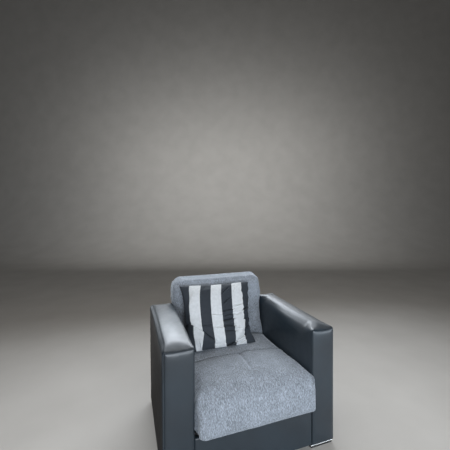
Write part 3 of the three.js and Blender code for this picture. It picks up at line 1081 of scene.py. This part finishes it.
def fullness(u, v):
    return np.sqrt((1 - np.abs(u) ** 3) * (1 - np.abs(v) ** 3))


def filled(u, v, depth):
    """Place flat cloth at that signed depth: x, height in the plane, depth."""
    share = (v + 1) / 2
    middle = (MIDDLE + MIDDLE_SLOPE * share + MIDDLE_BEND * share ** 2) * MM
    x = middle + u * STRIPES / 2 * between((PITCH_BELOW, PITCH_ABOVE), share) * MM
    x -= SLANT[0] * np.maximum(depth, 0)
    x += LEFT_FULLER * share * (1 - share) * np.clip(-1.5 * u, 0, 1)
    turned = np.clip((np.abs(u) - FLAT_SHARE) / (1 - FLAT_SHARE), 0, 1) ** 2
    x += turned * (np.where(u < 0, left_side(share), right_side(share)) - x)
    height = BOTTOM_SIDE + share * (top_side((u + 1) / 2) - BOTTOM_SIDE)
    spread = SPREAD_FORWARD * depth * smooth_step((-v - 0.4) / 0.6)
    return np.stack([x, height - spread, depth], 1)


# %% [markdown]
# The envelope is one closed mesh: a front grid, and a back grid that shares the front's rim, as
# two panels share their seam.

# %% Envelope
def envelope(wide, tall):
    """Cloth coordinates of the front, then of the back without its rim, and the faces."""
    u, v = np.meshgrid(np.linspace(-1, 1, wide + 1), np.linspace(-1, 1, tall + 1))
    u, v = u.ravel(), v.ravel()
    rim = (np.abs(u) == 1) | (np.abs(v) == 1)
    inside = np.flatnonzero(~rim)
    behind = np.arange(len(u))
    behind[inside] = len(u) + np.arange(len(inside))
    front = grid_faces(tall + 1, wide + 1)
    back = [tuple(int(behind[i]) for i in reversed(f)) for f in front]
    return np.append(u, u[inside]), np.append(v, v[inside]), rim, front + back


# %% [markdown]
# ## Folds in the scatter cushion
# Cotton creases sharply. One deep fold runs from the left side down towards the seat: its lower
# lip lies forward and has slipped to the right, so the stripes step there. The rest are short
# wrinkles, most of them level, in the lower right half where the cushion has slumped. Each is a
# valley with a ridge below it, from one place to another in mm, with its depth.

# %% Folds
DEEP_FOLD_X = (-235, -189, -152, -124, -100, -76, -52, -30)
DEEP_FOLD_HEIGHT = (165, 153, 131, 112, 91, 71, 54, 42)
DEEP_FOLD_DEPTH = (14, 14, 10, 18, 24, 19, 10, 0)
WRINKLES = (
    ((111, 238), (168, 240), 5), ((34, 209), (98, 217), 10), ((30, 153), (96, 162), 14),
    ((25, 121), (95, 116), 12), ((29, 92), (92, 91), 9), ((45, 181), (100, 190), 8),
    ((-37, 199), (23, 191), 4), ((-40, 127), (18, 120), 5), ((-110, 143), (-55, 134), 6),
    ((-47, 26), (18, 27), 6), ((89, 24), (150, 58), 8), ((87, 5), (149, 28), 7),
    ((22, 9), (87, 24), 15), ((40, 320), (90, 352), 8), ((45, 262), (92, 290), 8),
    ((164, 203), (208, 222), 12), ((159, 149), (192, 153), 12), ((160, 97), (180, 102), 10),
    ((120, 330), (150, 372), 4), ((112, 180), (150, 190), 4), ((110, 105), (150, 98), 5),
)


def wrinkle(seen, start, end, depth):
    along = np.subtract(end, start) * MM
    length = np.hypot(*along)
    offset = seen - np.multiply(start, MM)
    run = offset @ along / length ** 2
    beside = offset @ np.array([-along[1], along[0]]) / length
    beside += 4 * MM * wobble(seen, 30 * MM, depth)
    present = smooth_step((run + 0.25) / 0.4) * smooth_step((1.25 - run) / 0.4)
    return depth * MM * present * (0.7 * bell(beside + 7 * MM, 6 * MM) - bell(beside, 4 * MM))


# %% [markdown]
# Everything below the deep fold fades out over its own distance: the lower lip over 55 mm, the
# slip of the stripes over 75 mm. Further down the cloth is pulled back to the left. The right
# hem, which lies loose, wanders by 5 mm.

# %% Creasing the front
SLIP_X, SLIP = (-150, -105, -62), (15, 5, 0)
PULL_X, PULL = (-150, -100, -70, -20, 30), (0, -36, -34, -8, 0)
PULL_REACH = 70 * MM
HEM_WANDER = 5 * MM


def creased(points):
    """Sculpt the folds into the front, where the camera sees them."""
    seen = points[:, :2] + points[:, 2:] * SLANT
    facing_out = smooth_step(points[:, 2] / (8 * MM))
    rise = sum(wrinkle(seen, *fold) for fold in WRINKLES)
    x = seen[:, 0] / MM
    beside = 0.8 * (seen[:, 1] - np.interp(x, DEEP_FOLD_X, DEEP_FOLD_HEIGHT) * MM)
    deep = np.interp(x, DEEP_FOLD_X, DEEP_FOLD_DEPTH, right=0) * MM
    below = smooth_step(-beside / (5 * MM))

    def fading(reach):
        return below * np.exp(beside * below / (reach * MM))

    rise += deep * (0.6 * fading(55) - bell(beside, 4.5 * MM))
    slip = np.interp(x, SLIP_X, SLIP) * MM * fading(75)
    slip += np.interp(x, PULL_X, PULL) * MM * np.clip(-beside / PULL_REACH, 0, 1)
    slip += HEM_WANDER * wobble(seen * [0.3, 1], 20 * MM, 12) * smooth_step((x - 90) / 80)
    made = points.copy()
    made[:, 2] += facing_out * rise
    made[:, 0] += facing_out * slip
    made[:, 1] += facing_out * 0.4 * deep * fading(14)
    return made


# %% [markdown]
# A cloth simulation gives what would be slow to draw by hand: the seam is gathered a little and
# the panels have cloth to spare, so air pressure raises puckers square to the seam. The mesh is
# then subdivided, and the cloth coordinates are carried through the same step for the stripes.

# %% Scatter cushion
def scatter_cushion():
    u, v, rim, faces = envelope(96, 82)
    front = np.arange(len(u)) < len(rim)
    depth = np.where(front, FRONT_FULL, -REAR_FULL) * fullness(u, v)
    points = filled(u, v, depth)
    gathered = np.append(rim, np.zeros(len(u) - len(rim), bool))
    points = pressed(points, faces, None, cap=9 * MM, pressure=2.5, spare=0.035, bending=0.1,
                     gathered=gathered)
    cloth, _ = subdivided(np.column_stack([u, v, 0 * u]), faces)
    points, faces = subdivided(points, faces)
    points = creased(points)
    placed = (SCATTER_FOOT + points[:, :1] * ACROSS + points[:, 1:2] * UP_SCATTER
              + points[:, 2:] * OUT_SCATTER)
    piece = finish_piece("scatter_cushion_cover", placed, faces, COTTON, "striped_cotton",
                         "scatter_cushion")
    layer = piece.data.uv_layers.new(name="cloth")
    corners = np.empty(len(piece.data.loops), int)
    piece.data.loops.foreach_get("vertex_index", corners)
    layer.data.foreach_set("uv", ((cloth[corners, :2] + 1) / 2).ravel())


scatter_cushion()

# %% [markdown]
# ## Rails and outside back
# The front rail closes the seat's base between the arms. It and the rear rail are boards
# wrapped in the same leather cloth, with a soft edge of 7 mm and a slow ripple where the cloth is
# not quite tight. The front one is 9 mm lower than its board, to let the seat hang over it.

# %% Rails
FRONT_RAIL_LOWER = 9 * MM
RAIL_RIPPLE, RAIL_EDGE, RAIL_CLEAR = 0.7 * MM, 7 * MM, 0.8 * MM


def turned_edge(rim, radius):
    """Setback of a face near a rounded edge of that radius."""
    inside = np.clip(1 - rim / radius, 0, 1)
    return radius * (1 - np.sqrt(1 - inside ** 2))


def rail(node, front):
    low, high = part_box(node)
    a, b, faces = panel_grid(90, 34)
    top = high.z - (FRONT_RAIL_LOWER if front else 0)
    x, z = rounded_rectangle(a, b, (low.x, high.x), (low.z, top), 3 * MM)
    rim = rim_distance(a, b, high.x - low.x, high.z - low.z)
    ripple = RAIL_RIPPLE * wobble(np.stack([x * 0.5, z, 0 * x + 4], 1), 50 * MM, 8)
    depth = turned_edge(rim, RAIL_EDGE) + RAIL_CLEAR + ripple * smooth_step(rim / (15 * MM))
    y = np.concatenate([low.y + depth, 0 * depth + high.y] if front
                       else [high.y - depth, 0 * depth + low.y])
    points = np.stack([np.tile(x, 2), y, np.tile(z, 2)], 1)
    if not front:
        faces = [f[::-1] for f in faces]
    finish_piece(f"{node}_cover", points, faces, LEATHER, "leather", node)


rail("front_rail", True)
rail("rear_rail", False)

# %% [markdown]
# The outside back is a thin padded panel, its cover turned over a board. It is hidden in the
# photograph, so it takes the leather cloth of the arms and the lean of the back. Its upper
# corners have the 46 mm radius of the board, and a thin pad puffs it by 2.5 mm.

# %% Outside back
PANEL_THICKNESS, PANEL_CLEAR = 14 * MM, 2.6 * MM
PANEL_PUFF, PANEL_RIPPLE = 2.5 * MM, 1.0 * MM


def outside_back():
    low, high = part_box("outside_back")
    thickness = PANEL_THICKNESS
    length = (high.z - low.z - thickness * math.sin(RECLINE)) / math.cos(RECLINE)
    a, b, faces = panel_grid(80, 70)
    radius = np.where(b > 0, 46 * MM, 8 * MM)
    x, up = rounded_rectangle(a, b, (low.x + 8 * MM, high.x - 8 * MM), (0, length), radius)
    rim = rim_distance(a, b, high.x - low.x, length)
    ripple = PANEL_RIPPLE * wobble(np.stack([x, up, 0 * x + 9], 1), 85 * MM, 9)
    puff = PANEL_PUFF * (1 - np.exp(-rim / (40 * MM))) + ripple * smooth_step(rim / (25 * MM))
    depth = thickness - PANEL_CLEAR - turned_edge(rim, 6 * MM) + puff
    foot = np.array([0, high.y - length * math.sin(RECLINE) - thickness * math.cos(RECLINE),
                     low.z + thickness * math.sin(RECLINE)])
    local = np.stack([np.tile(x, 2), np.tile(up, 2), np.concatenate([-depth, 0 * depth])], 1)
    points = stand_up(local, foot)
    piece = finish_piece("outside_back_cover", points, [f[::-1] for f in faces], LEATHER,
                         "leather", "outside_back")


outside_back()

# %% [markdown]
# ## Feet
# Each foot is a flat bar of steel across the end of an arm, ground, polished and chromed, with a
# moulded spacer over it and a glide strip under it. The rounded block that made the foam makes
# these too. The bar's nose is nearly round, so that the chrome catches a line of light, and the
# plastic has only the small radii of a moulding.

# %% Feet
FOOT_PARTS = (  # part, finish, slot, corner and edge radius in mm
    ("foot_bar", CHROME, "chrome", 3.5, 3),
    ("foot_spacer", POLYPROPYLENE, "black_plastic", 3, 1),
    ("glide", POLYPROPYLENE, "black_plastic", 4, 1.5),
)


def plate(node, finish, slot, corner, edge):
    low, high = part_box(node)
    edges = (edge * MM,) * 4
    points, faces = foam_block(low, high, (corner * MM,) * 4, edges, edges)
    finish_piece(f"{node}_plate", points, faces, finish, slot, node)


for end in ("front", "rear"):
    for side in SIDES:
        for part, *make in FOOT_PARTS:
            plate(f"{part}_{end}_{side}", *make)

# %% [markdown]
# ## The dust cover
# Black cambric closes the underside. It is stapled round its edge, pulls into short tucks at
# each staple and hangs a few millimetres in its middle. It stays the size that it was cut to.

# %% Dust cover
STAPLE_PITCH = 50 * MM
HEM = 7 * MM
FIRST_STAPLE = 3 * HEM  # from the corner, along the hem
COVER_SAG, COVER_THICKNESS = 3.5 * MM, 0.7 * MM


def staple_places(low, high):
    """Middle and direction of each staple round the hem."""
    places = []
    for axis in (0, 1):
        start, stop = low[axis] + FIRST_STAPLE, high[axis] - FIRST_STAPLE
        for along in np.linspace(start, stop, round((stop - start) / STAPLE_PITCH) + 1):
            for across in (low[1 - axis] + HEM, high[1 - axis] - HEM):
                places.append(((along, across) if axis == 0 else (across, along), axis))
    return places


def dust_cover():
    low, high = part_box("dust_cover")
    a, b, faces = panel_grid(64, 62)
    wide, long = high.x - low.x, high.y - low.y
    x, y = (low.x + high.x) / 2 + a * wide / 2, (low.y + high.y) / 2 + b * long / 2
    sag = COVER_SAG * (1 - a ** 2) * (1 - b ** 2)
    rim = rim_distance(a, b, wide, long)
    along = np.where((1 - np.abs(a)) * wide < (1 - np.abs(b)) * long, y - low.y, x - low.x)
    tuck = np.cos(2 * math.pi * (along - FIRST_STAPLE) / STAPLE_PITCH) * bell(rim - HEM, 16 * MM)
    ripple = wobble(np.stack([x, y], 1), 70 * MM, 14) * smooth_step(rim / (40 * MM))
    under = low.z + (0.4 * tuck + 0.8 * ripple) * MM - sag
    z = np.concatenate([under, under + COVER_THICKNESS])
    points = np.stack([np.tile(x, 2), np.tile(y, 2), z], 1)
    piece = finish_piece("dust_cover_cloth", points, [f[::-1] for f in faces], CAMBRIC,
                         "dust_cloth", "dust_cover")


dust_cover()

# %% [markdown]
# A staple is a bent wire: two legs that go up through the cloth and a crown that lies on it.
# Its rings are mitred at the two bends. All the staples are one piece.

# %% Staples
CROWN_HALF, WIRE_RADIUS, WIRE_SIDES = 5 * MM, 0.5 * MM, 8
LEG, MITRE = 1.2 * MM, math.sqrt(2)


def staple(place, axis, level):
    half, wire = CROWN_HALF, WIRE_RADIUS
    path = [(-half, LEG, 0, 1), (-half, -wire, 45, MITRE), (half, -wire, 135, MITRE),
            (half, LEG, 180, 1)]
    points = []
    for run, height, degrees, wider in path:
        turn, stretch = math.radians(degrees), wire * wider
        for angle in np.linspace(0, 2 * math.pi, WIRE_SIDES, endpoint=False):
            out = stretch * math.cos(angle)
            local = (run - out * math.cos(turn), wire * math.sin(angle))
            x, y = local if axis == 0 else (-local[1], local[0])
            points.append((place[0] + x, place[1] + y, level + height - out * math.sin(turn)))
    return points, tube_faces(len(path), WIRE_SIDES)


def staples():
    low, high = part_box("dust_cover")
    points, faces = [], []
    for place, axis in staple_places(low, high):
        own_points, own_faces = staple(place, axis, low.z - 0.2 * MM)
        faces += [tuple(i + len(points) for i in f) for f in own_faces]
        points += own_points
    finish_piece("dust_cover_staples", np.array(points), faces, CHROME, "chrome")


staples()

# %% [markdown]
# ## The studio
# A pale floor sweeps up into a backdrop in one curve, so no line shows behind the chair. Its
# noise mottles it faintly, as a real floor is never one even grey.

# %% Floor and backdrop
FLOOR_NEAR, FLOOR_FAR = -9, 5  # metres along the camera's view
SWEEP_RADIUS, BACKDROP_TOP = 3, 12
FLOOR_HALF_WIDTH = 14.0


def sweep():
    run = [(FLOOR_NEAR, 0), (FLOOR_FAR, 0)]
    run += [(FLOOR_FAR + SWEEP_RADIUS * math.sin(t), SWEEP_RADIUS * (1 - math.cos(t)))
            for t in np.linspace(0, math.pi / 2, 24)]
    run += [(FLOOR_FAR + SWEEP_RADIUS, BACKDROP_TOP)]
    turn = np.array([[math.cos(CAMERA_TURN), math.sin(CAMERA_TURN), 0],
                     [-math.sin(CAMERA_TURN), math.cos(CAMERA_TURN), 0], [0, 0, 1]])
    points = [turn @ (x, y, z) for y, z in run for x in (-FLOOR_HALF_WIDTH, FLOOR_HALF_WIDTH)]
    made, tree, shader = material("pale_floor", Roughness=0.85)
    place = add(tree, "ShaderNodeTexCoord").outputs["Object"]
    mottle = add(tree, "ShaderNodeTexNoise", {"Scale": per_mm(400), "Detail": 3.0},
                 {"Vector": place})
    tint = add(tree, "ShaderNodeValToRGB", {"stops": [(0.3, "#b3afa9"), (0.7, "#bab6b0")]},
               {"Fac": mottle.outputs["Fac"]})
    tree.links.new(tint.outputs["Color"], shader.inputs["Base Color"])
    floor = mesh_object("floor", points, grid_faces(len(run), 2))
    floor.data.materials.append(made)


sweep()
print("floor:", 2 * FLOOR_HALF_WIDTH, "m wide, backdrop", BACKDROP_TOP, "m high")

# %% [markdown]
# ## Soft lights
# One light could both shade the cloth and mirror in the leather, but here the two need not agree,
# so they are split. `soft_rear` shades the surfaces and mirrors in none. The five cards only
# mirror: they stand behind the chair, where the top and the inner roll of each arm reflect to the
# camera, and each has its own strength. `overhead`, three fills in front and a light on the
# backdrop do both. Each is an area light that looks at its target.

# %% Soft lights
COOL = "#eef6ff"
TOWARDS_CHAIR = (0, -0.1, 0.6)
SOFT_LIGHTS = (  # name, place, target, size, watts, tint, spread in degrees, what it lights
    ("soft_rear", (0.2, 1.9, 2.5), (0, -0.3, 0.6), (4.0, 1.0), 33, COOL, 95, "diffuse"),
    ("card_behind", (0.35, 2.3, 2.22), TOWARDS_CHAIR, (1.4, 0.6), 6, COOL, 95, "gloss"),
    ("card_left", (-0.25, 2.2, 1.97), TOWARDS_CHAIR, (1.1, 0.6), 3.5, COOL, 95, "gloss"),
    ("card_low", (-1.3, 2.2, 0.95), (0.3, 0, 0.5), (0.7, 0.9), 1.0, COOL, 95, "gloss"),
    ("card_right", (1.4, 2.2, 1.55), (0.2, -0.1, 0.6), (2.2, 0.8), 3, COOL, 95, "gloss"),
    ("card_high", (1.0, 2.0, 2.4), (0.1, -0.1, 0.6), (2.2, 0.8), 5, COOL, 95, "gloss"),
    ("overhead", (0, -0.4, 3.2), (0, -0.4, 0), (4.0, 4.0), 28, "#fff8f0", 150, "both"),
    ("fill_front", (-0.2, -3.6, 1.0), (0, 0, 0.45), (2.5, 1.5), 37, COOL, 110, "both"),
    ("fill_right", (1.8, -2.9, 0.75), (0, 0, 0.45), (2.5, 1.2), 20, "#e8f3ff", 110, "both"),
    ("fill_left", (-2.2, -2.8, 1.6), (0, 0, 0.6), (2.0, 1.4), 12, "#f2f7ff", 110, "both"),
    ("backdrop", (1.1, 3.2, 3.0), (2.6, 7.6, 2.6), (7.0, 1.2), 110, "#f4f6f8", 140, "both"),
)


def soft_light(name, place, target, size, power, tint, spread, lights):
    data = bpy.data.lights.new(name, "AREA")
    data.shape = "RECTANGLE"
    data.size, data.size_y = size
    data.energy = power
    data.color = linear(tint)[:3]
    data.spread = math.radians(spread)
    card = bpy.data.objects.new(name, data)
    card.location = place
    card.rotation_euler = (Vector(target) - Vector(place)).to_track_quat("-Z", "Y").to_euler()
    card.visible_camera = False
    card.visible_diffuse = lights != "gloss"
    card.visible_glossy = lights != "diffuse"
    bpy.context.scene.collection.objects.link(card)


for light in SOFT_LIGHTS:
    soft_light(*light)
print(len(SOFT_LIGHTS), "soft lights,", sum(light[4] for light in SOFT_LIGHTS), "watts")

# %% [markdown]
# A dim, even world keeps the undersides from going black. The Standard view transform shows the
# sRGB colours as they were picked.

# %% World
world = bpy.data.worlds.new("dim_world")
world.use_nodes = True
background = world.node_tree.nodes["Background"].inputs
background["Color"].default_value = linear("#e6e9ec")
background["Strength"].default_value = 0.12
bpy.context.scene.world = world
bpy.context.scene.view_settings.view_transform = "Standard"

# %% [markdown]
# ## Flag
# A pale floor mirrors in the outer side of the left arm, which the camera sees at a low angle. A
# studio hangs a grey flag there. This one takes part in reflections only and casts no shadow, and
# a weak glow of its own keeps it an even grey.

# %% Flag
FLAG_FAR_Y, FLAG_TOP = 1.3, 0.5
FELT_GREY = "#5f5a55"


def flag():
    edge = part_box("arm_left")[0]
    near, far, base = edge.x - 3 * MM, edge.x - 90 * MM, 2 * MM
    points = [(near, edge.y, base), (near, FLAG_FAR_Y, base), (far, FLAG_FAR_Y, FLAG_TOP),
              (far, edge.y, FLAG_TOP)]
    felt = plain_finish("grey_felt", "#55504c", FELT_GREY, 2.0, 0.95,
                        Emission_Color=linear(FELT_GREY), Emission_Strength=0.5)
    card = mesh_object("flag", points, [(0, 1, 2, 3)])
    card.data.materials.append(felt)
    for ray in ("camera", "diffuse", "transmission", "volume_scatter", "shadow"):
        setattr(card, f"visible_{ray}", False)


flag()
